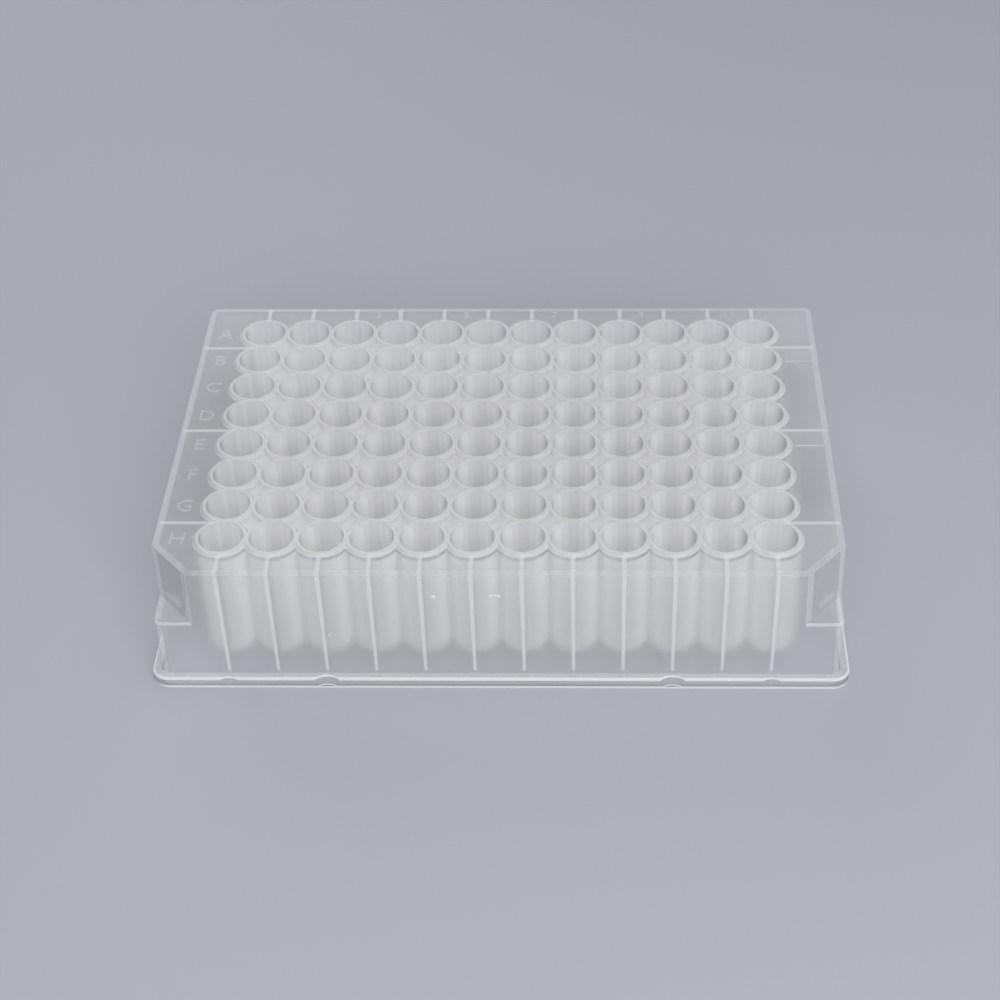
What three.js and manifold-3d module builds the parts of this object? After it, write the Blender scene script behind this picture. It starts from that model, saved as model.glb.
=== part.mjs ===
// A 96-well storage plate, injection-moulded in one piece from natural polypropylene.
// A hollow skirt with a stepped base flange carries a thin deck. Round, U-bottomed wells
// hang from the deck on a 9 mm grid, joined to one another where their walls meet, and thin
// ribs tie the outer wells to the skirt. The two front corners are cut off down to a ledge.
//
// Millimetres, +Z up. The origin is at the middle of the footprint, on the plane that the
// plate stands on. Columns 1 to 12 run along +X, and rows A to H run from +Y to -Y.

import * as THREE from 'three';
import { mergeVertices } from 'three/addons/utils/BufferGeometryUtils.js';
import Module from 'manifold-3d';

const wasm = await Module();
wasm.setup();

// Wells
const COLUMNS = 12;
const ROWS = 8;
const PITCH = 9;
const WEB = 1.0;                // wall between two neighbouring mouths
const WELL_TAPER = 0.35;        // how much narrower each well is where its round bottom begins
const WELL_FLOOR = 2.4;         // lowest point inside
const FLOOR_SIDES = 5;          // the wells have twice as many sides as their round bottoms
const RIM_WIDTH = 0.95;         // wall round each well, and its raised rim
const RIM_RISE = 0.6;           // how far the rims stand above the deck
const FLOOR_THICK = 1.0;
const TIP_HEIGHT = 2.8;         // from the lowest point underneath to where the tubes part
const TIP_WALL = 0.69;          // wall where the tips meet the tubes
const TIP_NARROWING = 1.54;     // how much narrower the tips are at their lowest point
const TIP_SIDES = 6;

// Overall sizes
const EDGE_X = 14.38;           // footprint edge to the centre of the first column
const EDGE_Y = 11.24;           // footprint edge to the centre of the first row
const FOOT_CORNER = 3.18;       // footprint corner radius
const HEIGHT = 27.0;            // to the top of the well rims
const DECK_THICK = 1.2;

// Skirt
const FLANGE_HEIGHT = 2.41;
const FLANGE_OUT_X = 1.63;      // how far the flange stands out at each end
const FLANGE_OUT_Y = 1.54;      // how far the flange stands out at the front and back
const WALL = 1.2;
const DRAFT_X = 0.45;           // how far each end leans in by the deck
const DRAFT_Y = 0.15;           // how far the front and back lean in by the deck
const SKIRT_CORNER = 1.6;       // vertical corner radius outside
const INNER_CORNER = 0.4;       // vertical corner radius inside
const SHELF_THICK = 0.81;       // flange left above the stacking step
const NEST_CLEARANCE = 0.55;    // play round the deck of a plate stacked underneath

// Cut front corners
const CHAMFER_X = 7.1;
const CHAMFER_Y = 7.9;
const LEDGE_TOP = 14.6;
const LEDGE_THICK = 1.1;
const PAD_RADIUS = 3.1;         // rounded pad behind each cut corner
const PAD_ALONG = 0.76;         // where the pad stands along the cut, from the front

// Ribs between the outer wells and the skirt
const RIB_THICK = 0.8;
const RIB_FOOT = 2.6;           // lowest point of a rib, at the skirt
const RIB_RISE = 1.2;           // how far above the foot of the tubes a rib starts

// Small features
const PANEL_DEPTH = 0.3;        // two label recesses in the right-hand margin
const PANEL_INSET = 1.4;        // from the tubes on one side and the deck's edge on the other
const PANEL_ROWS = 2;           // length of each recess, in pitches
const NOTCH_FLOOR = 0.5;        // scalloped notches in the front of the flange
const NOTCH_RADIUS = 3.3;
const NOTCH_TAPER = 0.4;        // how much narrower a notch is at its floor
const OUTER_NOTCH = 0.45;       // depth of the notches at the first and last columns
const INNER_NOTCH = 0.95;       // depth of the two notches further in
const NOTCH_COLUMNS = 2;        // how many columns apart they are

const ARC_STEPS = 2;            // each rounded corner or lobe has twice as many flats
const EMBED = 0.4;              // how far a joined piece runs into the one it meets
const EXTRA = 1;                // how far a cutting shape runs past what it cuts

// What follows from those sizes
const SPAN_X = ((COLUMNS - 1) / 2) * PITCH;     // middle to the outer well centres
const SPAN_Y = ((ROWS - 1) / 2) * PITCH;
const MOUTH_RADIUS = (PITCH - WEB) / 2;
const THROAT_RADIUS = MOUTH_RADIUS - WELL_TAPER;
const TUBE_RADIUS = MOUTH_RADIUS + RIM_WIDTH;
const CUSP_ANGLE = Math.acos(PITCH / 2 / TUBE_RADIUS);
const CUSP_REACH = TUBE_RADIUS * Math.sin(CUSP_ANGLE);
const TIP_BOTTOM = WELL_FLOOR - FLOOR_THICK;
const TUBE_FOOT = TIP_BOTTOM + TIP_HEIGHT;
const DECK_TOP = HEIGHT - RIM_RISE;
const FOOT_X = SPAN_X + EDGE_X;                 // half length of the footprint
const FOOT_Y = SPAN_Y + EDGE_Y;                 // half width of the footprint
const SKIRT_FOOT_X = FOOT_X - FLANGE_OUT_X;
const SKIRT_FOOT_Y = FOOT_Y - FLANGE_OUT_Y;
const SKIRT_TOP_X = SKIRT_FOOT_X - DRAFT_X;
const SKIRT_TOP_Y = SKIRT_FOOT_Y - DRAFT_Y;
const NEST_STEP = FLANGE_HEIGHT - SHELF_THICK;

// A closed three.js geometry as a solid that can be joined and cut.
function solid(geometry) {
  geometry.deleteAttribute('normal');
  geometry.deleteAttribute('uv');
  const merged = mergeVertices(geometry, 1e-5);
  const vertProperties = new Float32Array(merged.attributes.position.array);
  const corners = merged.index.array;
  const kept = [];
  for (let i = 0; i < corners.length; i += 3) {
    const [a, b, c] = corners.slice(i, i + 3);
    if (a !== b && b !== c && c !== a) {
      kept.push(a, b, c);
    }
  }
  const triVerts = new Uint32Array(kept);
  return new wasm.Manifold(new wasm.Mesh({ numProp: 3, vertProperties, triVerts }));
}

function joinAll(solids) {
  return solids.reduce((whole, piece) => whole.add(piece));
}

// An upright prism between two heights. Its top can be drawn in or out about the origin.
function prism(shape, low, high, topX = 1, topY = topX) {
  const geometry = new THREE.ExtrudeGeometry(shape, {
    depth: high - low,
    bevelEnabled: false,
    curveSegments: ARC_STEPS,
  });
  const position = geometry.attributes.position;
  for (let i = 0; i < position.count; i += 1) {
    const atTop = position.getZ(i) > (high - low) / 2;
    position.setX(i, position.getX(i) * (atTop ? topX : 1));
    position.setY(i, position.getY(i) * (atTop ? topY : 1));
    position.setZ(i, atTop ? high : low);
  }
  return geometry;
}

function polygon(points) {
  return new THREE.Shape(points.map(([x, y]) => new THREE.Vector2(x, y)));
}

function block(sizeX, sizeY, low, high) {
  const x = sizeX / 2;
  const y = sizeY / 2;
  return prism(polygon([[-x, -y], [x, -y], [x, y], [-x, y]]), low, high);
}

function regularPolygon(radius, sides, turn = 0) {
  const points = [];
  for (let i = 0; i < sides; i += 1) {
    const angle = (i / sides) * 2 * Math.PI + turn;
    points.push([radius * Math.cos(angle), radius * Math.sin(angle)]);
  }
  return polygon(points);
}

function roundedRectangle(halfX, halfY, radius) {
  const shape = new THREE.Shape();
  shape.moveTo(halfX, -halfY + radius);
  shape.lineTo(halfX, halfY - radius);
  shape.absarc(halfX - radius, halfY - radius, radius, 0, Math.PI / 2);
  shape.absarc(-halfX + radius, halfY - radius, radius, Math.PI / 2, Math.PI);
  shape.absarc(-halfX + radius, -halfY + radius, radius, Math.PI, Math.PI * 1.5);
  shape.absarc(halfX - radius, -halfY + radius, radius, Math.PI * 1.5, Math.PI * 2);
  return shape;
}

// The skirt's plan above the ledge: rounded at the back, cut off at the front corners.
// The inset moves every side inward by the same distance.
function cutCornerPlan(halfX, halfY, radius, inset) {
  const slope = Math.hypot(1 / CHAMFER_X, 1 / CHAMFER_Y);
  const grow = 1 + inset * (slope - 1 / CHAMFER_X - 1 / CHAMFER_Y);
  const cutX = CHAMFER_X * grow;
  const cutY = CHAMFER_Y * grow;
  const x = halfX - inset;
  const y = halfY - inset;
  const shape = new THREE.Shape();
  shape.moveTo(-x + cutX, -y);
  shape.lineTo(x - cutX, -y);
  shape.lineTo(x, -y + cutY);
  shape.lineTo(x, y - radius);
  shape.absarc(x - radius, y - radius, radius, 0, Math.PI / 2);
  shape.absarc(-x + radius, y - radius, radius, Math.PI / 2, Math.PI);
  shape.lineTo(-x, -y + cutY);
  return shape;
}

// Half sizes of the drafted skirt at a height.
function skirtAt(z) {
  const t = (z - FLANGE_HEIGHT) / (DECK_TOP - FLANGE_HEIGHT);
  return {
    x: SKIRT_FOOT_X + (SKIRT_TOP_X - SKIRT_FOOT_X) * t,
    y: SKIRT_FOOT_Y + (SKIRT_TOP_Y - SKIRT_FOOT_Y) * t,
  };
}

function wellCentres() {
  const centres = [];
  for (let row = 0; row < ROWS; row += 1) {
    for (let column = 0; column < COLUMNS; column += 1) {
      centres.push([column * PITCH - SPAN_X, SPAN_Y - row * PITCH]);
    }
  }
  return centres;
}

// One drafted level of the skirt, as an outer solid or as the hollow inside it.
function skirtLevel(low, high, inset, cutCorners) {
  const base = skirtAt(low);
  const top = skirtAt(high);
  const radius = inset > 0 ? INNER_CORNER : SKIRT_CORNER;
  const shape = cutCorners
    ? cutCornerPlan(base.x, base.y, radius, inset)
    : roundedRectangle(base.x - inset, base.y - inset, radius);
  const topX = (top.x - inset) / (base.x - inset);
  const topY = (top.y - inset) / (base.y - inset);
  return solid(prism(shape, low, high, topX, topY));
}

function makeShell() {
  const flange = roundedRectangle(FOOT_X, FOOT_Y, FOOT_CORNER);
  const nestX = SKIRT_TOP_X + NEST_CLEARANCE;
  const nestY = SKIRT_TOP_Y + NEST_CLEARANCE;
  const nest = roundedRectangle(nestX, nestY, SKIRT_CORNER + NEST_CLEARANCE);
  const outside = joinAll([
    solid(prism(flange, 0, FLANGE_HEIGHT)),
    skirtLevel(FLANGE_HEIGHT - EXTRA, LEDGE_TOP, 0, false),
    skirtLevel(FLANGE_HEIGHT - EXTRA, DECK_TOP, 0, true),
  ]);
  const inside = joinAll([
    solid(prism(nest, -EXTRA, NEST_STEP)),
    skirtLevel(NEST_STEP - EXTRA, LEDGE_TOP - LEDGE_THICK, WALL, false),
    skirtLevel(NEST_STEP - EXTRA, DECK_TOP - DECK_THICK, WALL, true),
  ]);
  return outside.subtract(inside);
}

// Rounded pads that carry on inside, level with each ledge.
function makePads() {
  const room = skirtLevel(FLANGE_HEIGHT, LEDGE_TOP, WALL / 2, false);
  const ledge = skirtAt(LEDGE_TOP);
  const pads = [-1, 1].map((side) => {
    const disc = new THREE.CylinderGeometry(PAD_RADIUS, PAD_RADIUS, LEDGE_THICK, 16);
    disc.rotateX(Math.PI / 2);
    disc.translate(
      side * (ledge.x - CHAMFER_X * (1 - PAD_ALONG)),
      CHAMFER_Y * PAD_ALONG - ledge.y,
      LEDGE_TOP - LEDGE_THICK / 2,
    );
    return solid(disc);
  });
  return joinAll(pads).intersect(room);
}

// The plan of the joined tubes: a lobe round each outer well, and a four-sided gap between
// each four wells.
function lobedPlan() {
  const cusp = PITCH / 2 - CUSP_REACH;
  const sides = [
    { count: COLUMNS, x: -SPAN_X, y: -SPAN_Y, stepX: PITCH, stepY: 0, facing: -Math.PI / 2 },
    { count: ROWS, x: SPAN_X, y: -SPAN_Y, stepX: 0, stepY: PITCH, facing: 0 },
    { count: COLUMNS, x: SPAN_X, y: SPAN_Y, stepX: -PITCH, stepY: 0, facing: Math.PI / 2 },
    { count: ROWS, x: -SPAN_X, y: SPAN_Y, stepX: 0, stepY: -PITCH, facing: Math.PI },
  ];
  const shape = new THREE.Shape();
  for (const side of sides) {
    for (let i = 0; i < side.count; i += 1) {
      const first = i === 0 ? -Math.PI / 4 : CUSP_ANGLE - Math.PI / 2;
      const last = i === side.count - 1 ? Math.PI / 4 : Math.PI / 2 - CUSP_ANGLE;
      shape.absarc(side.x + i * side.stepX, side.y + i * side.stepY, TUBE_RADIUS,
        side.facing + first, side.facing + last);
    }
  }
  for (let column = 1; column < COLUMNS; column += 1) {
    for (let row = 1; row < ROWS; row += 1) {
      const midX = (column - COLUMNS / 2) * PITCH;
      const midY = (row - ROWS / 2) * PITCH;
      const gap = new THREE.Path();
      gap.moveTo(midX + cusp, midY);
      gap.lineTo(midX, midY - cusp);
      gap.lineTo(midX - cusp, midY);
      gap.lineTo(midX, midY + cusp);
      gap.lineTo(midX + cusp, midY);
      shape.holes.push(gap);
    }
  }
  return shape;
}

// The tubes below the deck, and the raised rims above it. Both run on into the deck.
function makeTubes() {
  const plan = lobedPlan();
  const tubes = solid(prism(plan, TUBE_FOOT, DECK_TOP - DECK_THICK + EMBED));
  return tubes.add(solid(prism(plan, DECK_TOP - EMBED / 2, HEIGHT)));
}

// The tapered outside of each rounded bottom.
function makeTips() {
  const topRadius = THROAT_RADIUS + TIP_WALL;
  const footRadius = topRadius - TIP_NARROWING;
  const plan = regularPolygon(footRadius, TIP_SIDES, Math.PI / 6);
  const tips = wellCentres().map(([x, y]) => {
    const tip = prism(plan, TIP_BOTTOM, TUBE_FOOT + EMBED, topRadius / footRadius);
    return solid(tip.translate(x, y, 0));
  });
  return joinAll(tips);
}

// Leaves every second corner of one ring of a lathe shape.
function halveRing(lathe, ring, ringCount) {
  const position = lathe.attributes.position;
  for (let step = 1; step < 2 * FLOOR_SIDES; step += 2) {
    const from = (step - 1) * ringCount + ring;
    const to = step * ringCount + ring;
    position.setXYZ(to, position.getX(from), position.getY(from), position.getZ(from));
  }
}

function makeHollows() {
  const middle = WELL_FLOOR + THROAT_RADIUS;
  const bend = THREE.MathUtils.degToRad(50);
  const flare = WELL_TAPER / (HEIGHT - middle);
  const profile = [
    [0, WELL_FLOOR],
    [THROAT_RADIUS * Math.cos(bend), middle - THROAT_RADIUS * Math.sin(bend)],
    [THROAT_RADIUS, middle],
    [MOUTH_RADIUS + flare * EXTRA, HEIGHT + EXTRA],
    [0, HEIGHT + EXTRA],
  ].map(([radius, height]) => new THREE.Vector2(radius, height));
  const hollows = wellCentres().map(([x, y]) => {
    const hollow = new THREE.LatheGeometry(profile, 2 * FLOOR_SIDES);
    halveRing(hollow, 1, profile.length);
    hollow.rotateX(Math.PI / 2);
    hollow.translate(x, y, 0);
    return solid(hollow);
  });
  return joinAll(hollows);
}

// One rib: its profile runs outward from the well at 0 and down from the deck.
function rib(length) {
  const top = DECK_TOP - DECK_THICK / 2;
  const start = TUBE_FOOT + RIB_RISE;
  const profile = polygon([[0, top], [0, start], [length, RIB_FOOT], [length, top]]);
  const plate = new THREE.ExtrudeGeometry(profile, { depth: RIB_THICK, bevelEnabled: false });
  plate.translate(0, 0, -RIB_THICK / 2);
  return plate.rotateX(Math.PI / 2);
}

function makeRibs() {
  const ribs = [];
  const startY = SPAN_Y + TUBE_RADIUS - EMBED;
  const wallY = SKIRT_TOP_Y - WALL / 2;
  for (let column = 0; column < COLUMNS; column += 1) {
    for (const side of [-1, 1]) {
      const piece = rib(wallY - startY);
      piece.rotateZ(side * Math.PI / 2);
      piece.translate(column * PITCH - SPAN_X, side * startY, 0);
      ribs.push(solid(piece));
    }
  }
  const startX = SPAN_X + CUSP_REACH - EMBED;
  const wallX = SKIRT_TOP_X - WALL / 2;
  const betweenEndRows = SPAN_Y - PITCH / 2;
  for (const y of [-betweenEndRows, 0, betweenEndRows]) {
    for (const side of [-1, 1]) {
      const piece = rib(wallX - startX);
      piece.rotateZ(side < 0 ? Math.PI : 0);
      piece.translate(side * startX, y, 0);
      ribs.push(solid(piece));
    }
  }
  return joinAll(ribs);
}

function makePanels() {
  const near = SPAN_X + TUBE_RADIUS + PANEL_INSET;
  const far = SKIRT_TOP_X - PANEL_INSET;
  const length = PANEL_ROWS * PITCH;
  const panels = [-1, 1].map((side) => {
    const panel = block(far - near, length, DECK_TOP - PANEL_DEPTH, HEIGHT + EXTRA);
    return solid(panel.translate((near + far) / 2, side * (length + PITCH) / 2, 0));
  });
  return joinAll(panels);
}

function makeNotches() {
  const inner = SPAN_X - NOTCH_COLUMNS * PITCH;
  const places = [
    { x: -SPAN_X, depth: OUTER_NOTCH },
    { x: -inner, depth: INNER_NOTCH },
    { x: inner, depth: INNER_NOTCH },
    { x: SPAN_X, depth: OUTER_NOTCH },
  ];
  const height = FLANGE_HEIGHT + EXTRA - NOTCH_FLOOR;
  const footRadius = NOTCH_RADIUS - NOTCH_TAPER;
  const notches = places.map(({ x, depth }) => {
    const scoop = new THREE.CylinderGeometry(NOTCH_RADIUS, footRadius, height, 24);
    scoop.rotateX(Math.PI / 2);
    scoop.translate(x, depth - FOOT_Y - NOTCH_RADIUS, NOTCH_FLOOR + height / 2);
    return solid(scoop);
  });
  return joinAll(notches);
}

const plate = makeShell()
  .add(makeTubes())
  .add(makeTips())
  .add(makeRibs())
  .add(makePads())
  .subtract(makeHollows())
  .subtract(makePanels())
  .subtract(makeNotches());

function toGeometry(manifold) {
  const mesh = manifold.getMesh();
  const geometry = new THREE.BufferGeometry();
  geometry.setAttribute('position', new THREE.BufferAttribute(mesh.vertProperties, 3));
  geometry.setIndex(new THREE.BufferAttribute(mesh.triVerts, 1));
  geometry.computeVertexNormals();
  return geometry;
}

const polypropylene = new THREE.MeshStandardMaterial({
  color: 0xd6d9db,
  roughness: 0.38,
  metalness: 0,
});

const wellPlate = new THREE.Mesh(toGeometry(plate), polypropylene);
wellPlate.name = 'well_plate';

const part = new THREE.Group();
part.name = 'well_plate_part';
part.add(wellPlate);

export default part;
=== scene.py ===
import math

import bmesh
import bpy
from mathutils import Matrix, Vector


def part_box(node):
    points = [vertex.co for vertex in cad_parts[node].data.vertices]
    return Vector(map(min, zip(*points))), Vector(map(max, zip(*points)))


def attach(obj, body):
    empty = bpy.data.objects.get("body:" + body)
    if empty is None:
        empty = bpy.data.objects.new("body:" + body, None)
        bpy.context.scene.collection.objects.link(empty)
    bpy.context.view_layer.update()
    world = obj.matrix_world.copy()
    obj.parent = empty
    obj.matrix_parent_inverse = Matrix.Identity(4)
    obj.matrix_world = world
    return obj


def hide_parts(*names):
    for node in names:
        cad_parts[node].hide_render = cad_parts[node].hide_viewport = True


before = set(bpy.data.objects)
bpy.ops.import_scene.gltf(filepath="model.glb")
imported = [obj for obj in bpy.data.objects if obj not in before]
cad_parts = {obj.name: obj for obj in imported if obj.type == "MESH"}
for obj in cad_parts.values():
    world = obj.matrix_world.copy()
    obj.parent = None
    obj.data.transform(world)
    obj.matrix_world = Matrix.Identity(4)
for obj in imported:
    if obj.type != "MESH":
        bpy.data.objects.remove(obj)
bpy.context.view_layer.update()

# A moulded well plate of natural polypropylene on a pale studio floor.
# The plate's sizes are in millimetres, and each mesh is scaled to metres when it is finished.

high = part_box("well_plate")[1]

MM = 0.001
FOOT_X = high[0] / MM           # half length of the footprint
FOOT_Y = high[1] / MM           # half width of the footprint
FOOT_CORNER = 3.18
HEIGHT = high[2] / MM
DECK_TOP = HEIGHT - 0.6
DECK_UNDER = DECK_TOP - 1.2

PITCH = 9.0
COLUMNS = 12
ROWS = 8
SPAN_X = (COLUMNS - 1) / 2 * PITCH
SPAN_Y = (ROWS - 1) / 2 * PITCH
SIDES = 40                      # flats round each well
APART = 0.01                    # keeps the faces of two solids out of one plane

WALL = 1.2
BAND = 1.25                     # width of the light bands where a wall is seen end on
LEAST_ROUNDING = 0.12           # the smallest radius of an upright corner
FLANGE_HEIGHT = 2.41
FLANGE_LEVELS = (               # height, and how far the outline is moved in
    (0, 0.1), (0.04, 0.03), (0.1, 0), (0.64, 0), (1.98, 0), (2.26, 0.09), (FLANGE_HEIGHT, 0.42))
FLANGE_EDGE = 0.65              # the flange's lower edge looks bright up to here
NEST_STEP = 1.6                 # how deep a plate sits on the one below it
NEST_GAP = 0.55                 # room round the deck of that one
HOLLOW_START = 0.6              # where the cutter of the skirt's hollow begins, inside the step
SKIRT_FOOT = (FOOT_X - 1.63, FOOT_Y - 1.54)
SKIRT_TOP = (SKIRT_FOOT[0] - 0.45, SKIRT_FOOT[1] - 0.15)
SKIRT_CORNER = 1.6
CHAMFER_X = 7.1
CHAMFER_Y = 7.9
CHAMFER_CORNER = 0.5
LEDGE_TOP = 14.6
LEDGE_UNDER = LEDGE_TOP - 1.1
OVERLAP = 0.5                   # how far the upper skirt and its hollow reach into the lower ones

# Outsides of the skirt, below and above the ledges: height, and how far the outline is moved in
LOWER_SKIRT = ((1.9, APART), (14.2, APART), (14.45, 0.1), (LEDGE_TOP, 0.42), (LEDGE_TOP, BAND))
UPPER_SKIRT = ((LEDGE_TOP - OVERLAP, 0), (26.13, 0), (26.33, 0.08), (DECK_TOP, 0.28), (DECK_TOP, BAND))

# Pads that carry each ledge on inside the skirt
PAD_RADIUS = 3.1
PAD_ALONG = 0.76                # where a pad stands along its cut corner
PAD_ROUND = 0.25
PAD_INSET = 0.6                 # from the skirt's outer face

# Ribs join the outer wells to the skirt. They are thinner at the foot.
RIB_THICK = 0.8
FOOT_THICK = 0.55
RIB_FOOT = 2.6
RIB_NODE = 8.3                  # below this the meeting of rib and skirt is brighter
RIB_START = 5.4                 # height at which a rib leaves its tube
RIB_DROP = 0.03                 # from the deck's top
RIB_SINK = 0.3                  # how far a rib reaches into its tube
RIB_SHORT = 0.5                 # how far it ends inside the skirt's outer face
END_RIB_ROWS = (-3, 0, 3)       # in pitches from the middle, in the valleys between two tubes
END_RIB_START = 1.8             # from the middle of the end wells
RIB_LOOKS = (0, 0, 0, 2, 1, 1, 0)   # the material of each of a rib's faces

# Notches in the front edge of the flange: column and how far the cutter reaches in
NOTCHES = ((0, 0.45), (2, 0.95), (9, 0.95), (11, 0.45))
NOTCH_PROFILE = ((2.75, 0.5), (2.9, 0.62), (3.26, 2.1), (3.45, 2.45), (3.6, 3.5))
NOTCH_RADIUS = 3.3
NOTCH_SIDES = 48

# Label recesses in the right-hand margin of the deck
PANEL_GAP = 0.8                 # from the outer tubes
PANEL_DEPTH = 0.3
PANEL_CORNER = 0.3
PANEL_EDGE = 0.06               # width of the sloping edge at its bottom
PANEL_CENTRES = (-1.5, 1.5)     # in pitches from the middle

# Engraved letters and numerals
ENGRAVING = 0.22                # how deep they are
CUTTER_HALF = 1.0               # half the height of the solids that cut them
LETTER_SIZE = 4.6
LETTER_X = -57.55
LETTER_RISE = 0.2               # how far a letter stands behind the middle of its row
NUMERAL_SIZE = 2.7
NUMERAL_Y = 38.6

# Flecks: x, y, z, width, height
FLECKS = (
    (-11.2, -41.05, 21.2, 0.95, 0.85), (-30.4, -41.08, 11.8, 0.45, 0.45),
    (-1.15, -41.05, 21.4, 0.65, 0.75), (-0.4, -41.05, 21.6, 1.3, 0.4), (0.4, -41.05, 21.4, 0.65, 0.75),
    (-36.9, 40.6, 26.25, 1.0, 0.25), (-7.3, 40.5, 26.25, 0.7, 0.2),
)
FLECK_DEEP = 0.1                # half its depth
FLECK_PROFILE = ((0, -1), (0.7, -0.7), (1, 0), (0.7, 0.7), (0, 1))
FLECK_SIDES = 12

MOUTH_RADIUS = 4.0
THROAT_RADIUS = 3.65
TUBE_RADIUS = 4.95
BOWL_CENTRE = 6.05              # height where the round bottoms begin
WELL_FLOOR = 2.4
TUBE_BOTTOM = 1.4
BOWL_STEPS = 6
MID_WALL = MOUTH_RADIUS + 0.3   # a radius inside the wall of every tube

# How faces are told apart, when each is given its material
TOUCH = 0.01                    # lengths closer than this are taken as one
NEAR = 0.05                     # a face this near to a flat one is part of it
FLAT = 0.97                     # a face whose normal rises more than this lies level
EDGE_REACH = 0.3                # how near a face lies to the skirt's outside to belong to it
DECK_ROUNDING = 0.31            # the deck's rounded edge lies within this depth
LEDGE_ROUNDING = 0.41           # and that of a ledge within this one
SHARP_ANGLE = 32                # degrees between two faces whose edge stays sharp


# ---------------------------------------------------------------- mesh helpers

def make_object(name, vertices, faces):
    mesh = bpy.data.meshes.new(name)
    mesh.from_pydata(vertices, [], faces)
    mesh.update()
    obj = bpy.data.objects.new(name, mesh)
    bpy.context.collection.objects.link(obj)
    return obj


def loft(rings):
    """A closed skin through rings of points, lowest first. A ring of one point is a tip."""
    vertices = [p for ring in rings for p in ring]
    starts = [sum(len(r) for r in rings[:i]) for i in range(len(rings))]
    faces = []
    for i in range(len(rings) - 1):
        a, b = starts[i], starts[i + 1]
        n, m = len(rings[i]), len(rings[i + 1])
        for k in range(max(n, m)):
            j = (k + 1) % max(n, m)
            if n == 1:
                faces.append((a, b + j, b + k))
            elif m == 1:
                faces.append((a + k, a + j, b))
            else:
                faces.append((a + k, a + j, b + j, b + k))
    if len(rings[0]) > 1:
        faces.append(tuple(range(len(rings[0]) - 1, -1, -1)))
    if len(rings[-1]) > 1:
        faces.append(tuple(range(starts[-1], len(vertices))))
    return vertices, faces


def lathe(profile, x=0.0, y=0.0, sides=SIDES):
    """A turned solid through (radius, height) points, lowest first."""
    rings = []
    for radius, z in profile:
        if radius == 0:
            rings.append([(x, y, z)])
            continue
        ring = []
        for k in range(sides):
            turn = 2 * math.pi * k / sides
            ring.append((x + radius * math.cos(turn), y + radius * math.sin(turn), z))
        rings.append(ring)
    return loft(rings)


def gather(parts):
    """Several parts as one list of points and one of faces."""
    vertices, faces = [], []
    for points, polygons in parts:
        start = len(vertices)
        vertices.extend(points)
        faces.extend(tuple(i + start for i in polygon) for polygon in polygons)
    return vertices, faces


def outline(corners, inset=0.0, steps=5):
    """Points round a polygon of (x, y, radius) corners, moved inward and rounded.

    One more point stands a band's width before and after each rounding.
    """
    points = []
    count = len(corners)
    for i in range(count):
        x, y, radius = corners[i]
        before = Vector(corners[i - 1][:2])
        here = Vector((x, y))
        after = Vector(corners[(i + 1) % count][:2])
        d0 = (here - before).normalized()
        d1 = (after - here).normalized()
        n0 = Vector((-d0.y, d0.x))
        n1 = Vector((-d1.y, d1.x))
        here = here + (n0 + n1) * (inset / (1 + n0.dot(n1)))
        turn = math.atan2(d0.x * d1.y - d0.y * d1.x, d0.dot(d1))
        radius = max(radius - inset, LEAST_ROUNDING)
        start = here - d0 * (radius * math.tan(turn / 2))
        centre = start + n0 * radius
        first = math.atan2(-n0.y, -n0.x)
        points.append(tuple(start - d0 * BAND))
        for k in range(steps + 1):
            angle = first + turn * k / steps
            points.append((centre.x + radius * math.cos(angle), centre.y + radius * math.sin(angle)))
        end = here + d1 * (radius * math.tan(turn / 2) + BAND)
        points.append(tuple(end))
    return points


def edge_depth(x, y, z, cut):
    """How far a point lies inside the outer faces of the skirt at its height."""
    half_x, half_y = skirt_at(z)
    depth = min(half_x - abs(x), half_y - abs(y))
    if cut and y < 0:
        across = (half_x - CHAMFER_X - abs(x)) * CHAMFER_Y + (half_y + y) * CHAMFER_X
        depth = min(depth, across / math.hypot(CHAMFER_X, CHAMFER_Y))
    return depth


def rectangle(half_x, half_y, radius):
    return [
        (half_x, -half_y, radius), (half_x, half_y, radius),
        (-half_x, half_y, radius), (-half_x, -half_y, radius),
    ]


def cut_rectangle(half_x, half_y, radius):
    """The plan of the upper skirt, with its two front corners cut off."""
    return [
        (half_x - CHAMFER_X, -half_y, CHAMFER_CORNER), (half_x, CHAMFER_Y - half_y, CHAMFER_CORNER),
        (half_x, half_y, radius), (-half_x, half_y, radius),
        (-half_x, CHAMFER_Y - half_y, CHAMFER_CORNER), (CHAMFER_X - half_x, -half_y, CHAMFER_CORNER),
    ]


def skirt_at(z):
    """Half the length and half the width of the leaning skirt at a height."""
    t = (z - FLANGE_HEIGHT) / (DECK_TOP - FLANGE_HEIGHT)
    return [SKIRT_FOOT[i] + (SKIRT_TOP[i] - SKIRT_FOOT[i]) * t for i in (0, 1)]


def skirt_solid(plan, levels):
    """A drafted solid through (z, inset) levels of the skirt's plan."""
    rings = []
    for z, inset in levels:
        half_x, half_y = skirt_at(z)
        ring = outline(plan(half_x, half_y, SKIRT_CORNER), inset)
        rings.append([(x, y, z) for x, y in ring])
    return loft(rings)


def carve(base, part, operation="DIFFERENCE"):
    """Joins a closed part to the base, or cuts it out."""
    tool = make_object("tool", *part)
    modifier = base.modifiers.new("carve", "BOOLEAN")
    modifier.operation = operation
    modifier.solver = "MANIFOLD"
    modifier.object = tool
    depsgraph = bpy.context.evaluated_depsgraph_get()
    mesh = bpy.data.meshes.new_from_object(base.evaluated_get(depsgraph))
    base.modifiers.clear()
    base.data = mesh
    bpy.data.objects.remove(tool)


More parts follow.
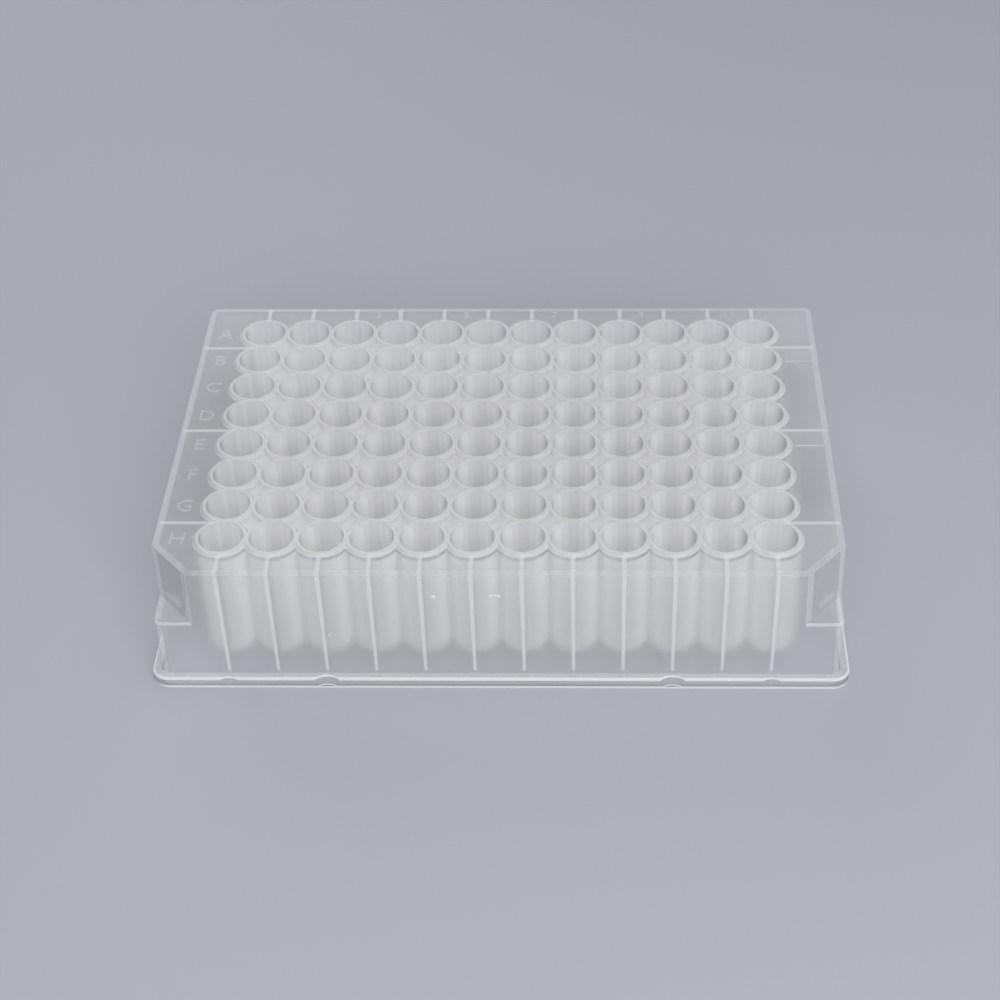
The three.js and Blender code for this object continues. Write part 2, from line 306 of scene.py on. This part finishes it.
def drop_slivers(obj, length=0.002):
    """Closes up the edges that the cuts left shorter than this many millimetres."""
    shape = bmesh.new()
    shape.from_mesh(obj.data)
    bmesh.ops.dissolve_degenerate(shape, dist=length, edges=shape.edges)
    shape.to_mesh(obj.data)
    shape.free()


def mesh_part(obj):
    """Takes an object apart again, into its points and faces."""
    part = [tuple(v.co) for v in obj.data.vertices], [tuple(f.vertices) for f in obj.data.polygons]
    bpy.data.objects.remove(obj)
    return part


def well_centres(parity=None):
    for row in range(ROWS):
        for column in range(COLUMNS):
            if parity is None or (row + column) % 2 == parity:
                yield column * PITCH - SPAN_X, SPAN_Y - row * PITCH


# ---------------------------------------------------------------- the moulding

def flange_solid():
    plan = rectangle(FOOT_X, FOOT_Y, FOOT_CORNER)
    return loft([[(x, y, z) for x, y in outline(plan, inset, 8)] for z, inset in FLANGE_LEVELS])


def round_end(radius, centre, bottom):
    """Profile of a bowl from its lowest point up to where its wall stands upright."""
    depth = centre - bottom
    profile = [(0, bottom)]
    for k in range(1, BOWL_STEPS + 1):
        angle = math.pi / 2 * k / BOWL_STEPS
        profile.append((radius * math.sin(angle), centre - depth * math.cos(angle)))
    return profile


def tube_profile():
    """The outside of a tube, with the collar under the deck's top and the raised rim."""
    rim = [
        (5.2, DECK_TOP - 0.5), (5.2, DECK_TOP - 0.02), (5.02, DECK_TOP + 0.04),
        (4.88, DECK_TOP + 0.18), (4.74, HEIGHT - 0.14), (4.66, HEIGHT - 0.04),
        (4.54, HEIGHT), (0, HEIGHT),
    ]
    body = round_end(TUBE_RADIUS, BOWL_CENTRE, TUBE_BOTTOM)
    return body + [(TUBE_RADIUS, DECK_UNDER + 0.4)] + rim


def well_profile():
    """The hollow of a well, up past its rounded mouth."""
    mouth = [
        (MOUTH_RADIUS - 0.01, HEIGHT - 0.14), (MOUTH_RADIUS + 0.04, HEIGHT - 0.04),
        (MOUTH_RADIUS + 0.14, HEIGHT), (MOUTH_RADIUS + 0.14, HEIGHT + 1), (0, HEIGHT + 1),
    ]
    return round_end(THROAT_RADIUS, BOWL_CENTRE, WELL_FLOOR) + mouth


def glyph(text, size, x, y):
    """A closed solid of one engraved letter or numeral, centred in plan."""
    curve = bpy.data.curves.new("glyph", "FONT")
    curve.body = text
    curve.size = size
    curve.extrude = CUTTER_HALF
    curve.resolution_u = 2
    curve.align_x = "CENTER"
    curve.align_y = "CENTER"
    obj = bpy.data.objects.new("glyph", curve)
    bpy.context.collection.objects.link(obj)
    depsgraph = bpy.context.evaluated_depsgraph_get()
    mesh = bpy.data.meshes.new_from_object(obj.evaluated_get(depsgraph))
    shape = bmesh.new()
    shape.from_mesh(mesh)
    bmesh.ops.remove_doubles(shape, verts=shape.verts, dist=1e-4)
    bmesh.ops.recalc_face_normals(shape, faces=shape.faces)
    vertices = [(v.co.x + x, v.co.y + y, v.co.z + DECK_TOP + CUTTER_HALF - ENGRAVING) for v in shape.verts]
    faces = [tuple(v.index for v in f.verts) for f in shape.faces]
    shape.free()
    bpy.data.objects.remove(obj)
    return vertices, faces


def glyphs():
    parts = []
    for row in range(ROWS):
        parts.append(glyph("ABCDEFGH"[row], LETTER_SIZE, LETTER_X, SPAN_Y - row * PITCH + LETTER_RISE))
    for column in range(0, COLUMNS, 2):
        x = column * PITCH - SPAN_X + PITCH / 2
        parts.append(glyph(str(column + 1), NUMERAL_SIZE, x, NUMERAL_Y))
    return gather(parts)


def notches():
    parts = []
    for column, depth in NOTCHES:
        x = column * PITCH - SPAN_X
        parts.append(lathe(NOTCH_PROFILE, x, depth - FOOT_Y - NOTCH_RADIUS, NOTCH_SIDES))
    return gather(parts)


def panels():
    parts = []
    near = SPAN_X + TUBE_RADIUS + PANEL_GAP
    far = SKIRT_TOP[0] - BAND - APART
    bottom = DECK_TOP - PANEL_DEPTH
    plan = rectangle((far - near) / 2, PITCH, PANEL_CORNER)
    for centre in PANEL_CENTRES:
        rings = []
        for z, inset in ((bottom, PANEL_EDGE), (bottom + PANEL_EDGE, 0), (DECK_TOP + 1, 0)):
            ring = outline(plan, inset, 3)
            rings.append([(x + (near + far) / 2, y + centre * PITCH, z) for x, y in ring])
        parts.append(loft(rings))
    return gather(parts)


def pads():
    """Rounded pads that carry on inside, level with each ledge."""
    half_x, half_y = skirt_at(LEDGE_TOP)
    centre_x = half_x - CHAMFER_X * (1 - PAD_ALONG)
    centre_y = CHAMFER_Y * PAD_ALONG - half_y
    profile = [
        (0, LEDGE_UNDER), (PAD_RADIUS, LEDGE_UNDER), (PAD_RADIUS, LEDGE_TOP - PAD_ROUND),
        (PAD_RADIUS - PAD_ROUND, LEDGE_TOP - APART), (0, LEDGE_TOP - APART)]
    return gather([lathe(profile, side * centre_x, centre_y) for side in (-1, 1)])


def build_plate():
    plate = make_object("plate", *flange_solid())
    carve(plate, skirt_solid(rectangle, LOWER_SKIRT), "UNION")
    carve(plate, skirt_solid(cut_rectangle, UPPER_SKIRT), "UNION")
    nest = rectangle(SKIRT_TOP[0] + NEST_GAP, SKIRT_TOP[1] + NEST_GAP, SKIRT_CORNER + NEST_GAP)
    carve(plate, loft([[(x, y, z) for x, y in outline(nest)] for z in (-1, NEST_STEP)]))
    carve(plate, skirt_solid(rectangle, [(HOLLOW_START, WALL), (LEDGE_UNDER, WALL)]))
    carve(plate, skirt_solid(cut_rectangle, [(LEDGE_UNDER - OVERLAP, WALL), (DECK_UNDER, WALL)]))
    for parity in (0, 1):
        tubes = [lathe(tube_profile(), x, y) for x, y in well_centres(parity)]
        carve(plate, gather(tubes), "UNION")
    pad = make_object("pads", *pads())
    carve(pad, skirt_solid(rectangle, [(2, PAD_INSET), (LEDGE_TOP + 1, PAD_INSET)]), "INTERSECT")
    carve(plate, mesh_part(pad), "UNION")
    carve(plate, gather([lathe(well_profile(), x, y) for x, y in well_centres()]))
    carve(plate, panels())
    carve(plate, notches())
    carve(plate, glyphs())
    drop_slivers(plate)
    return plate


def rib(length):
    """A closed rib along +X from 0, with its foot sloping down to the skirt."""
    top = DECK_TOP - RIB_DROP
    rings = []
    for way in (-1, 1):
        ring = []
        for x, z in ((0, RIB_START), (length, RIB_FOOT), (length, RIB_NODE), (length, top), (0, top)):
            half = FOOT_THICK + (RIB_THICK - FOOT_THICK) * (z - RIB_FOOT) / (top - RIB_FOOT)
            ring.append((x, way * half / 2, z))
        rings.append(ring)
    return [p for ring in rings for p in ring], [
        (0, 1, 2, 3, 4), (9, 8, 7, 6, 5), (5, 6, 1, 0), (6, 7, 2, 1),
        (7, 8, 3, 2), (8, 9, 4, 3), (9, 5, 0, 4)]


def placed(part, x, y, turn):
    """A part turned about Z and moved in plan."""
    cos, sin = math.cos(turn), math.sin(turn)
    points = [(x + px * cos - py * sin, y + px * sin + py * cos, pz) for px, py, pz in part[0]]
    return points, part[1]


def build_ribs():
    parts = []
    start = SPAN_Y + TUBE_RADIUS - RIB_SINK
    part = rib(SKIRT_TOP[1] - RIB_SHORT - start)
    for column in range(COLUMNS):
        x = column * PITCH - SPAN_X
        for side in (-1, 1):
            parts.append(placed(part, x, side * start, side * math.pi / 2))
    start = SPAN_X + END_RIB_START
    part = rib(SKIRT_TOP[0] - RIB_SHORT - start)
    for row in END_RIB_ROWS:
        for side in (-1, 1):
            parts.append(placed(part, side * start, row * PITCH, 0 if side > 0 else math.pi))
    return make_object("plate_ribs", *gather(parts))


def build_flecks():
    """Small white flecks just under the surface of the front and of the deck's back edge."""
    parts = []
    for x, y, z, wide, high in FLECKS:
        points, faces = lathe(FLECK_PROFILE, sides=FLECK_SIDES)
        points = [(x + px * wide / 2, y + py * FLECK_DEEP, z + pz * high / 2) for px, py, pz in points]
        parts.append((points, faces))
    return make_object("plate_flecks", *gather(parts))


# ---------------------------------------------------------------- materials

STEEPEST = 0.6                  # no wall counts as seen more slanted than this
MEAN_SLANT = 0.75               # how steeply light meets a wall on the whole
HAZE_SCALE = 180
HAZE_THIN = (0.95, 0.955, 0.96)
HAZE_THICK = (0.98, 0.98, 0.98)
GRAIN_SCALE = 2600
GRAIN_STRENGTH = 0.12
GRAIN_HEIGHT = 0.00003          # metres
PLASTIC_IOR = 1.49
PLASTIC_SPECULAR = 0.25
BLUR_IOR = 1.16                 # bends light a little, so that what lies behind a wall blurs
SHEEN_IOR = 1.4
SHEEN = 0.35
LEAN_UP = 0.4                   # how much the normals of a flattened wall lean up
VALLEY_START = 0.2              # where a valley between two tubes begins to look thicker, as a
VALLEY_FULL = 0.46              # share of the pitch from a well's middle, and where it does fully

# Upright streaks in a bore, where its wall joins those of the wells beside it: how far a point
# lies from the well's own middle lines, in millimetres, and how milky it is there.
STREAKS = (
    (0.0, 0.1), (0.85, 0.0), (1.2, 1.0), (1.55, 0.9), (1.9, 0.45), (2.3, 0.5), (2.5, 0.65), (2.8, 0.5))
STREAK_REACH = 4                # millimetres that the whole colour ramp stands for


def node(tree, kind, **settings):
    made = tree.nodes.new(kind)
    for key, value in settings.items():
        setattr(made, key, value)
    return made


def math_node(tree, operation, a, b=None):
    """One sum of two values, each a number or the output of another node."""
    made = node(tree, "ShaderNodeMath", operation=operation)
    for socket, value in zip(made.inputs, (a, b)):
        if value is None:
            continue
        if isinstance(value, (int, float)):
            socket.default_value = value
        else:
            tree.links.new(value, socket)
    return made.outputs[0]


def axes(tree, vector):
    """The x, y and z of a vector."""
    split = node(tree, "ShaderNodeSeparateXYZ")
    tree.links.new(vector, split.inputs[0])
    return split.outputs


def compare(tree, value, operation, reach):
    """1 where a distance from the middle is below or above a reach in millimetres."""
    return math_node(tree, operation, math_node(tree, "ABSOLUTE", value), reach * MM)


def off_pitch(tree, value):
    """How far a place lies from the middle of the nearest well, as a share of the pitch."""
    turns = math_node(tree, "FRACT", math_node(tree, "DIVIDE", value, PITCH * MM))
    return math_node(tree, "ABSOLUTE", math_node(tree, "SUBTRACT", turns, 0.5))


def block_depth(tree, place, strength):
    """The deck between the wells, where all the tubes under it add to the haze."""
    x, y, _ = axes(tree, place)
    inside = [compare(tree, x, "LESS_THAN", SPAN_X), compare(tree, y, "LESS_THAN", SPAN_Y)]
    return math_node(tree, "MULTIPLY", math_node(tree, "MULTIPLY", *inside), strength)


def web_stripes(tree, place, strength):
    """Upright streaks in a bore, where its wall joins the walls of the wells beside it."""
    x, y, _ = axes(tree, place)
    offset = math_node(tree, "MINIMUM", off_pitch(tree, x), off_pitch(tree, y))
    ramp = node(tree, "ShaderNodeValToRGB")
    tree.links.new(math_node(tree, "MULTIPLY", offset, PITCH / STREAK_REACH), ramp.inputs[0])
    elements = ramp.color_ramp.elements
    while len(elements) < len(STREAKS):
        elements.new(0.5)
    for element, (millimetres, value) in zip(elements, STREAKS):
        element.position = millimetres / STREAK_REACH
        element.color = (value, value, value, 1)
    return math_node(tree, "MULTIPLY", ramp.outputs[0], strength)


def valley_depth(tree, place, strength):
    """Extra thickness in the valleys where two outer tubes meet."""
    x, y, _ = axes(tree, place)
    sides = []
    for along, across, length, span in ((x, y, SPAN_X, SPAN_Y), (y, x, SPAN_Y, SPAN_X)):
        ramp = node(tree, "ShaderNodeMapRange", interpolation_type="SMOOTHSTEP")
        tree.links.new(off_pitch(tree, along), ramp.inputs["Value"])
        ramp.inputs["From Min"].default_value = VALLEY_START
        ramp.inputs["From Max"].default_value = VALLEY_FULL
        outside = compare(tree, across, "GREATER_THAN", span)
        within = compare(tree, along, "LESS_THAN", length)
        shown = math_node(tree, "MULTIPLY", outside, within)
        sides.append(math_node(tree, "MULTIPLY", ramp.outputs[0], shown))
    return math_node(tree, "MULTIPLY", math_node(tree, "MAXIMUM", *sides), strength)


def end_wall(tree, place):
    """1 on the tubes' outer walls at the two short ends of the block, 0 elsewhere."""
    x, y, _ = axes(tree, place)
    outside = compare(tree, x, "GREATER_THAN", SPAN_X)
    return math_node(tree, "MULTIPLY", outside, compare(tree, y, "LESS_THAN", SPAN_Y))


def wall_haze(tree, place, density, among_wells, stripes, between_tubes):
    """How milky a wall is: the longer the way through it, the whiter it looks."""
    thickness = -density
    if among_wells:
        thickness = math_node(tree, "SUBTRACT", thickness, block_depth(tree, place, among_wells))
    if stripes:
        thickness = math_node(tree, "SUBTRACT", thickness, web_stripes(tree, place, stripes))
    if between_tubes:
        thickness = math_node(tree, "SUBTRACT", thickness, valley_depth(tree, place, between_tubes))
    facing = node(tree, "ShaderNodeLayerWeight").outputs["Facing"]
    slant = math_node(tree, "MAXIMUM", math_node(tree, "SUBTRACT", 1.0, facing), STEEPEST)
    through = math_node(tree, "EXPONENT", math_node(tree, "DIVIDE", thickness, slant))
    return math_node(tree, "SUBTRACT", 1.0, through)


def cloudy_tint(tree, place, painted_shade_factor):
    """A colour that drifts a little from place to place, darkened by a factor where shade is painted in.
    """
    haze = node(tree, "ShaderNodeTexNoise")
    haze.inputs["Scale"].default_value = HAZE_SCALE
    haze.inputs["Detail"].default_value = 1
    tree.links.new(place, haze.inputs["Vector"])
    tint = node(tree, "ShaderNodeMix", data_type="RGBA")
    tint.inputs[6].default_value = (*(part * painted_shade_factor for part in HAZE_THIN), 1)
    tint.inputs[7].default_value = (*(part * painted_shade_factor for part in HAZE_THICK), 1)
    tree.links.new(haze.outputs["Fac"], tint.inputs[0])
    return tint.outputs[2]


def fine_grain(tree, place):
    """Normals of the faint grain that the mould leaves."""
    grain = node(tree, "ShaderNodeTexNoise")
    grain.inputs["Scale"].default_value = GRAIN_SCALE
    grain.inputs["Detail"].default_value = 0
    tree.links.new(place, grain.inputs["Vector"])
    bump = node(tree, "ShaderNodeBump")
    bump.inputs["Strength"].default_value = GRAIN_STRENGTH
    bump.inputs["Distance"].default_value = GRAIN_HEIGHT
    tree.links.new(grain.outputs["Fac"], bump.inputs["Height"])
    return bump.outputs["Normal"]


def flattened(tree, place, normal, flatten, turn_at_ends):
    """Normals of a round wall, squeezed toward the front and back or, at the ends, the sides.

    Light spreads inside the walls, so a round wall is nearly as bright at its sides.
    """
    spread = node(tree, "ShaderNodeVectorMath", operation="MULTIPLY_ADD")
    tree.links.new(normal, spread.inputs[0])
    spread.inputs[1].default_value = (1 - flatten, 1, 1)
    spread.inputs[2].default_value = (0, 0, LEAN_UP * flatten)
    if turn_at_ends:
        squeeze = node(tree, "ShaderNodeMix", data_type="VECTOR")
        tree.links.new(end_wall(tree, place), squeeze.inputs["Factor"])
        squeeze.inputs[4].default_value = (1 - flatten, 1, 1)
        squeeze.inputs[5].default_value = (1, 1 - flatten, 1)
        tree.links.new(squeeze.outputs[1], spread.inputs[1])
    level = node(tree, "ShaderNodeVectorMath", operation="NORMALIZE")
    tree.links.new(spread.outputs[0], level.inputs[0])
    return level.outputs[0]


def mix_shaders(tree, factor, first, second):
    mixed = node(tree, "ShaderNodeMixShader")
    if isinstance(factor, (int, float)):
        mixed.inputs[0].default_value = factor
    else:
        tree.links.new(factor, mixed.inputs[0])
    tree.links.new(first, mixed.inputs[1])
    tree.links.new(second, mixed.inputs[2])
    return mixed.outputs[0]


def milk(tree, place, roughness, passing, flatten, turn_at_ends, painted_shade_factor):
    """The milky part of a wall, which scatters light back and lets some pass."""
    tint = cloudy_tint(tree, place, painted_shade_factor)
    normal = fine_grain(tree, place)
    plastic = node(tree, "ShaderNodeBsdfPrincipled")
    plastic.inputs["Roughness"].default_value = roughness
    plastic.inputs["IOR"].default_value = PLASTIC_IOR
    plastic.inputs["Specular IOR Level"].default_value = PLASTIC_SPECULAR
    tree.links.new(tint, plastic.inputs["Base Color"])
    glow = node(tree, "ShaderNodeBsdfTranslucent")
    tree.links.new(tint, glow.inputs["Color"])
    if flatten:
        normal = flattened(tree, place, normal, flatten, turn_at_ends)
        tree.links.new(normal, glow.inputs["Normal"])
    tree.links.new(normal, plastic.inputs["Normal"])
    return mix_shaders(tree, passing, plastic.outputs[0], glow.outputs[0])


def see_through(tree, path, leaving, blur):
    """The clear part of a wall, which may blur what lies behind it."""
    straight = node(tree, "ShaderNodeBsdfTransparent").outputs[0]
    if not blur:
        return straight
    bent = node(tree, "ShaderNodeBsdfRefraction")
    bent.inputs["IOR"].default_value = BLUR_IOR
    bent.inputs["Roughness"].default_value = blur
    unblurred = math_node(tree, "MAXIMUM", path.outputs["Is Diffuse Ray"], leaving)
    return mix_shaders(tree, unblurred, bent.outputs[0], straight)


def sheen(tree, entering, roughness, below):
    """A soft shine on the side of a wall that faces the open air."""
    gloss = node(tree, "ShaderNodeBsdfAnisotropic")
    gloss.inputs["Roughness"].default_value = roughness
    gloss.inputs["Color"].default_value = (1, 1, 1, 1)
    fresnel = node(tree, "ShaderNodeFresnel")
    fresnel.inputs["IOR"].default_value = SHEEN_IOR
    amount = math_node(tree, "MULTIPLY", fresnel.outputs[0], SHEEN)
    return mix_shaders(tree, math_node(tree, "MULTIPLY", amount, entering), below, gloss.outputs[0])


def polypropylene(name, density, roughness=0.3, passing=0.5, shadow=1.0, blur=0.0, stripes=0.0,
                  among_wells=0.0, between_tubes=0.0, flatten=0.0, painted_shade_factor=1.0):
    """Milky, see-through plastic.

    All the milk of a wall shows where it is entered. Where it is left again it is clear.
    """
    material = bpy.data.materials.new(name)
    material.use_nodes = True
    tree = material.node_tree
    tree.nodes.clear()

    place = node(tree, "ShaderNodeTexCoord").outputs["Object"]
    path = node(tree, "ShaderNodeLightPath")
    leaving = node(tree, "ShaderNodeNewGeometry").outputs["Backfacing"]
    entering = math_node(tree, "SUBTRACT", 1.0, leaving)
    haze = wall_haze(tree, place, density, among_wells, stripes, between_tubes)
    body = math_node(tree, "MULTIPLY", haze, entering)
    clear = see_through(tree, path, leaving, blur)
    white = milk(tree, place, roughness, passing, flatten, between_tubes > 0, painted_shade_factor)
    wall = sheen(tree, entering, roughness, mix_shaders(tree, body, clear, white))

    # Light on its way through a wall only needs to know how much of it gets through.
    passed = 1 - shadow * (1 - math.exp(-density / 2 / MEAN_SLANT))
    shade = node(tree, "ShaderNodeBsdfTransparent")
    shade.inputs["Color"].default_value = (passed, passed, passed, 1)
    chosen = mix_shaders(tree, path.outputs["Is Shadow Ray"], wall, shade.outputs[0])
    out = node(tree, "ShaderNodeOutputMaterial")
    tree.links.new(chosen, out.inputs["Surface"])
    return material


def floor_material():
    material = bpy.data.materials.new("studio_floor")
    material.use_nodes = True
    surface = material.node_tree.nodes["Principled BSDF"]
    surface.inputs["Base Color"].default_value = (0.42, 0.43, 0.46, 1)
    surface.inputs["Roughness"].default_value = 0.55
    surface.inputs["Specular IOR Level"].default_value = 0.3
    return material


# ---------------------------------------------------------------- assembly

def finish_piece(obj, materials):
    """Scales a piece to metres and gives it its materials, its shading and its place in the frame."""
    obj.data.transform(Matrix.Scale(MM, 4))
    obj.data.materials.clear()
    for material in materials:
        obj.data.materials.append(material)
    obj.data.shade_smooth()
    obj.data.set_sharp_from_angle(angle=math.radians(SHARP_ANGLE))
    weighted = obj.modifiers.new("normals", "WEIGHTED_NORMAL")
    weighted.keep_sharp = True
    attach(obj, "root")


def among_tubes(x, y):
    reach = TUBE_RADIUS + 0.1
    return abs(x) < SPAN_X + reach and abs(y) < SPAN_Y + reach


def ledge_kind(x, y, z):
    """The top of a ledge: clear at the corner itself, with a light band round it."""
    if edge_depth(x, y, z, True) > EDGE_REACH or skirt_at(z)[0] - abs(x) < BAND - TOUCH:
        return BANDS
    return SKIRT


def skirt_kind(x, y, z, turning):
    """The skirt's outer faces: light bands down the corners, but not on the cut faces between."""
    half_x = skirt_at(z)[0]
    on_cut = LEDGE_TOP < z and y < 0 and half_x - CHAMFER_X + BAND < abs(x) < half_x - BAND
    return BANDS if turning and not on_cut else SKIRT


def face_kind(face):
    """Which of the plate's materials a face takes: its index in LOOKS."""
    x, y, z = face.center
    nx, ny, nz = face.normal
    upright = abs(nz) < 0.3
    level = nz > FLAT
    bevelled = 0.2 < nz < FLAT
    if z > DECK_TOP + TOUCH:
        return RIM
    if z < FLANGE_HEIGHT + TOUCH and edge_depth(x, y, z, False) < NEAR:
        return EDGE if (z < FLANGE_EDGE and abs(nz) < FLAT) or 0.3 < nz < FLAT else CLEAR
    if nz < -FLAT and z < NEAR:
        return BANDS
    if among_tubes(x, y):
        if z < DECK_UNDER - TOUCH or abs(nz) < 0.5:
            return TUBE if facing_out(x, y) else BORE
        return DECK if z > DECK_TOP - PANEL_DEPTH - NEAR else CLEAR
    if bevelled and z > DECK_TOP - DECK_ROUNDING:
        return BANDS
    if bevelled and LEDGE_TOP - LEDGE_ROUNDING < z < LEDGE_TOP:
        return RIM if ny < -0.3 or edge_depth(x, y, z, True) > EDGE_REACH else BANDS
    if level and abs(z - LEDGE_TOP) < NEAR:
        return ledge_kind(x, y, z)
    if level and z > DECK_TOP - TOUCH and edge_depth(x, y, z, True) < BAND - TOUCH:
        return BANDS
    if DECK_TOP - ENGRAVING - TOUCH < z < DECK_TOP - TOUCH and (x < 0 or y > SPAN_Y + PITCH / 2):
        return MARKS
    if upright and DECK_TOP - DECK_ROUNDING < z and ny < -0.7:
        return RIM if y < 0 else BANDS
    if upright and edge_depth(x, y, z, z > LEDGE_TOP) < EDGE_REACH:
        return skirt_kind(x, y, z, abs(nx) > 0.15 and abs(ny) > 0.15)
    if level and abs(z - DECK_TOP + PANEL_DEPTH) < NEAR:
        return PANEL
    return DECK if level and z > DECK_TOP - NEAR else CLEAR


def facing_out(x, y):
    """True on the outside of a tube, away from the axis of the nearest well."""
    column = round((x + SPAN_X) / PITCH)
    row = round((SPAN_Y - y) / PITCH)
    dx = x - (min(max(column, 0), COLUMNS - 1) * PITCH - SPAN_X)
    dy = y - (SPAN_Y - min(max(row, 0), ROWS - 1) * PITCH)
    return math.hypot(dx, dy) > MID_WALL


CLEAR, DECK, SKIRT, BANDS, EDGE, RIM, BORE, TUBE, MARKS, PANEL = range(10)
LOOKS = [
    polypropylene("natural_polypropylene", 0.14, among_wells=0.56),
    polypropylene("natural_polypropylene_deck", 0.15, among_wells=0.56, blur=0.6),
    polypropylene("natural_polypropylene_skirt", 0.14, blur=0.7),
    polypropylene("natural_polypropylene_bands", 0.37, shadow=0.7),
    polypropylene("natural_polypropylene_edges", 1.57, passing=0.35),
    polypropylene("natural_polypropylene_rims", 0.85, shadow=0.6),
    # The bores take a colour darkened to 0.97: painted shade inside the wells.
    polypropylene("natural_polypropylene_bores", 0.64, shadow=0.5, stripes=0.16, flatten=0.8, painted_shade_factor=0.97),
    polypropylene("natural_polypropylene_tubes", 0.7, shadow=0.1, between_tubes=0.9, flatten=0.85),
    polypropylene("natural_polypropylene_marks", 0.42),
    polypropylene("natural_polypropylene_panels", 0.1, blur=0.6),
]


def dress_plate():
    plate = build_plate()
    kinds = [face_kind(face) for face in plate.data.polygons]
    finish_piece(plate, LOOKS)
    plate.data.polygons.foreach_set("material_index", kinds)
    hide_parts("well_plate")


def dress_ribs():
    ribs = build_ribs()
    finish_piece(ribs, [
        polypropylene("natural_polypropylene_ribs", 0.12),
        polypropylene("natural_polypropylene_rib_ends", 0.9, passing=0.45),
        polypropylene("natural_polypropylene_rib_feet", 1.05, passing=0.45),
    ])
    ends = [RIB_LOOKS[i % len(RIB_LOOKS)] for i in range(len(ribs.data.polygons))]
    ribs.data.polygons.foreach_set("material_index", ends)


dress_plate()
dress_ribs()
finish_piece(build_flecks(), [LOOKS[EDGE]])


# ---------------------------------------------------------------- studio

scene = bpy.context.scene
scene.view_settings.view_transform = "Standard"
scene.cycles.transparent_max_bounces = 8
scene.cycles.max_bounces = 6
scene.cycles.diffuse_bounces = 3
scene.cycles.glossy_bounces = 2
scene.cycles.transmission_bounces = 6
scene.cycles.caustics_reflective = False
scene.cycles.caustics_refractive = False

FLOOR_HALF = 4                  # metres
floor = make_object("floor", [
    (-FLOOR_HALF, -FLOOR_HALF, 0), (FLOOR_HALF, -FLOOR_HALF, 0),
    (FLOOR_HALF, FLOOR_HALF, 0), (-FLOOR_HALF, FLOOR_HALF, 0)], [(0, 1, 2, 3)])
floor.data.materials.append(floor_material())


def soft_light(name, place, target, size, power):
    """A rectangular lamp at a place in metres, turned to a target, with its power in watts."""
    lamp = bpy.data.lights.new(name, "AREA")
    lamp.shape = "RECTANGLE"
    lamp.size, lamp.size_y = size
    lamp.energy = power
    obj = bpy.data.objects.new(name, lamp)
    obj.location = place
    obj.rotation_euler = (Vector(target) - Vector(place)).to_track_quat("-Z", "Y").to_euler()
    bpy.context.collection.objects.link(obj)


soft_light("softbox_top", (0.25, -0.1, 0.9), (0, 0, 0), (0.8, 0.6), 3.0)
soft_light("softbox_front", (0.21, -0.85, 0.55), (0, 0, 0.01), (0.9, 0.5), 8.6)
soft_light("softbox_back", (-0.4, 0.8, 0.5), (0, 0, 0.01), (0.7, 0.5), 2.1)
world = bpy.data.worlds.new("studio")
world.use_nodes = True
background = world.node_tree.nodes["Background"]
background.inputs["Color"].default_value = (0.85, 0.88, 1.0, 1)
background.inputs["Strength"].default_value = 0.26
scene.world = world

# The camera stands in front of the plate, a little to the right, looking down at 40 degrees.
CAMERA_PLACE = (0.016642, -0.294306, 0.256159)
YAW, PITCH_DOWN, ROLL = -0.0290231, 0.7063796, -0.0185363
SENSOR_WIDTH = 36
FOCAL_RATIO = 1.9583            # focal length over the sensor's width
LENS_SHIFT = (-0.0477, 0.0161)  # as shares of the picture's width


def place_camera():
    forward = Vector((
        math.sin(YAW) * math.cos(PITCH_DOWN), math.cos(YAW) * math.cos(PITCH_DOWN), -math.sin(PITCH_DOWN)))
    level_right = Vector((math.cos(YAW), -math.sin(YAW), 0))
    level_up = level_right.cross(forward)
    right = level_right * math.cos(ROLL) + level_up * math.sin(ROLL)
    up = level_up * math.cos(ROLL) - level_right * math.sin(ROLL)
    lens = bpy.data.cameras.new("camera")
    lens.sensor_width = SENSOR_WIDTH
    lens.lens = FOCAL_RATIO * SENSOR_WIDTH
    lens.shift_x, lens.shift_y = LENS_SHIFT
    lens.clip_start = 0.01
    camera = bpy.data.objects.new("camera", lens)
    turn = Matrix((right, up, -forward)).transposed().to_4x4()
    camera.matrix_world = Matrix.Translation(CAMERA_PLACE) @ turn
    bpy.context.collection.objects.link(camera)
    return camera


scene.camera = place_camera()

bpy.context.view_layer.update()
